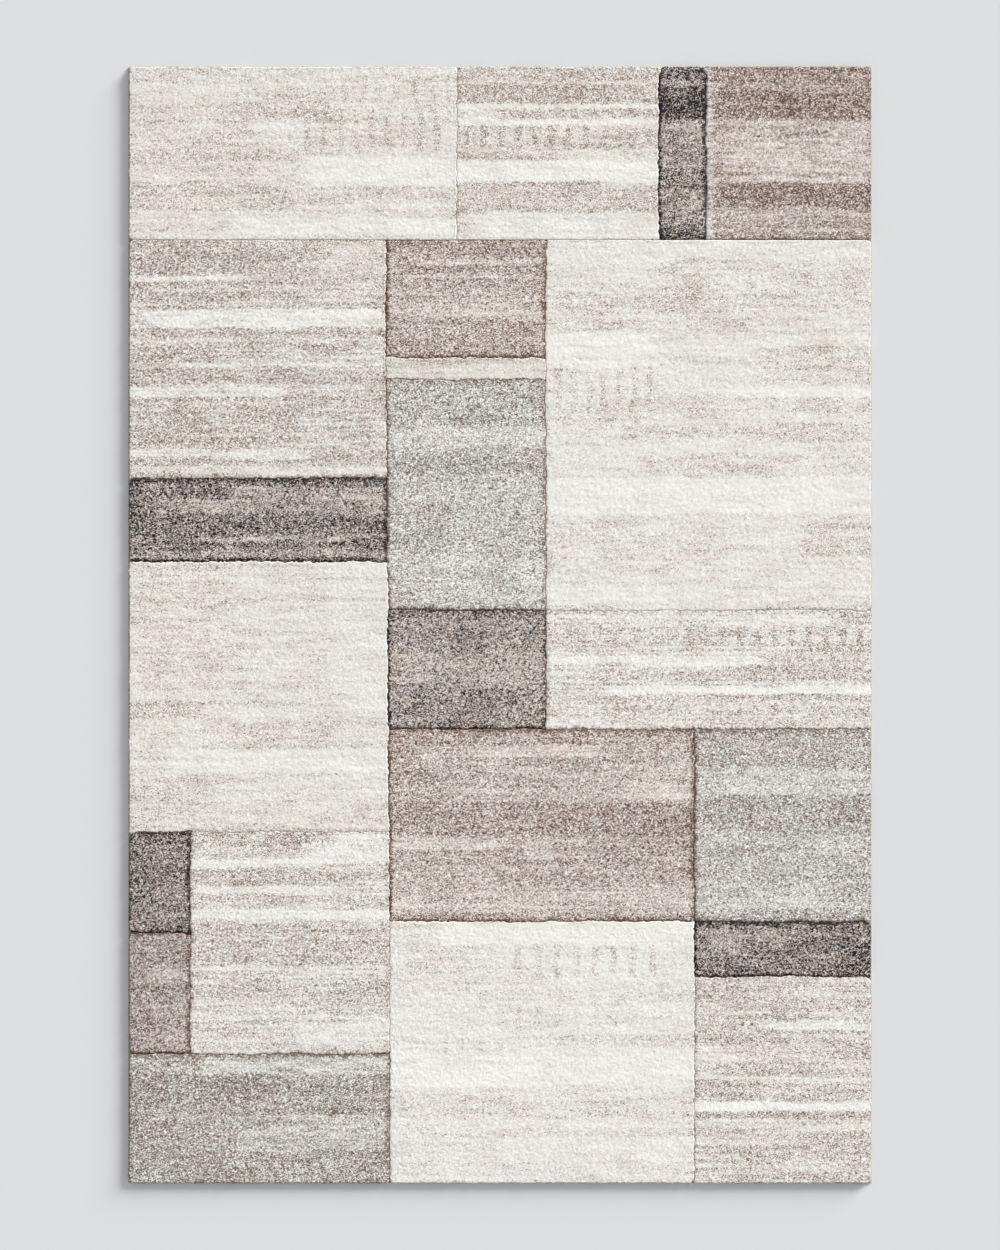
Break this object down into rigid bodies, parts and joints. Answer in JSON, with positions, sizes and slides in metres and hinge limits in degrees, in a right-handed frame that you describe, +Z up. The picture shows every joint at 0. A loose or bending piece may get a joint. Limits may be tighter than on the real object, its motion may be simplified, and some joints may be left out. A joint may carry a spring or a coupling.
{
  "type": "area rug",
  "caption": "Large rectangular woven area rug with a hand-carved cut pile in a patchwork of cream, taupe, silver and charcoal blocks; one end band folds over.",
  "frame": {"origin": "middle of the flat underside, which lies on the floor", "axes": "+X across the rug, +Y along it towards the end band that folds, +Z up out of the pile"},
  "size_m": [2, 3, 0.015],
  "materials": {
    "cream_pile": "heathered cream cut pile with fine beige and grey flecks",
    "beige_pile": "cream cut pile streaked with beige and grey",
    "taupe_pile": "heathered rosy taupe cut pile",
    "silver_pile": "heathered silver grey cut pile",
    "charcoal_pile": "heathered charcoal and mauve cut pile",
    "mauve_pile": "heathered mauve taupe cut pile",
    "ground_weave": "jute and cotton ground weave",
    "back_coat": "thin latex coat showing the weave",
    "binding": "overlocked yarn",
    "end_tape": "twill tape, stitched",
    "care_label": "blank satin label"
  },
  "bodies": {
    "rug_field": {"back_coat_field": "back_coat", "end_tape_bottom": "end_tape", "ground_weave_field": "ground_weave", "pile_beige_bottom_right": "beige_pile", "pile_beige_lower_left": "beige_pile", "pile_beige_right": "beige_pile", "pile_beige_upper_left": "beige_pile", "pile_charcoal_left": "charcoal_pile", "pile_charcoal_middle": "charcoal_pile", "pile_charcoal_right": "charcoal_pile", "pile_charcoal_small": "charcoal_pile", "pile_cream_bottom": "cream_pile", "pile_cream_middle_left": "cream_pile", "pile_cream_right": "cream_pile", "pile_cream_strip": "cream_pile", "pile_mauve_small": "mauve_pile", "pile_silver_bottom_left": "silver_pile", "pile_silver_middle": "silver_pile", "pile_silver_right": "silver_pile", "pile_taupe_lower": "taupe_pile", "pile_taupe_upper": "taupe_pile", "side_binding_left_field": "binding", "side_binding_right_field": "binding"},
    "end_band": {"back_coat_end": "back_coat", "care_label": "care_label", "end_tape_top": "end_tape", "ground_weave_end": "ground_weave", "pile_charcoal_end": "charcoal_pile", "pile_cream_end_left": "cream_pile", "pile_cream_end_middle": "cream_pile", "pile_taupe_end_right": "taupe_pile", "side_binding_left_end": "binding", "side_binding_right_end": "binding"}
  },
  "joints": [
    {"name": "end_fold", "type": "hinge", "parent": "rug_field", "child": "end_band", "pos_m": [0, 1.035, 0.0155], "axis": [1, 0, 0], "range_deg": [0, 170]}
  ]
}
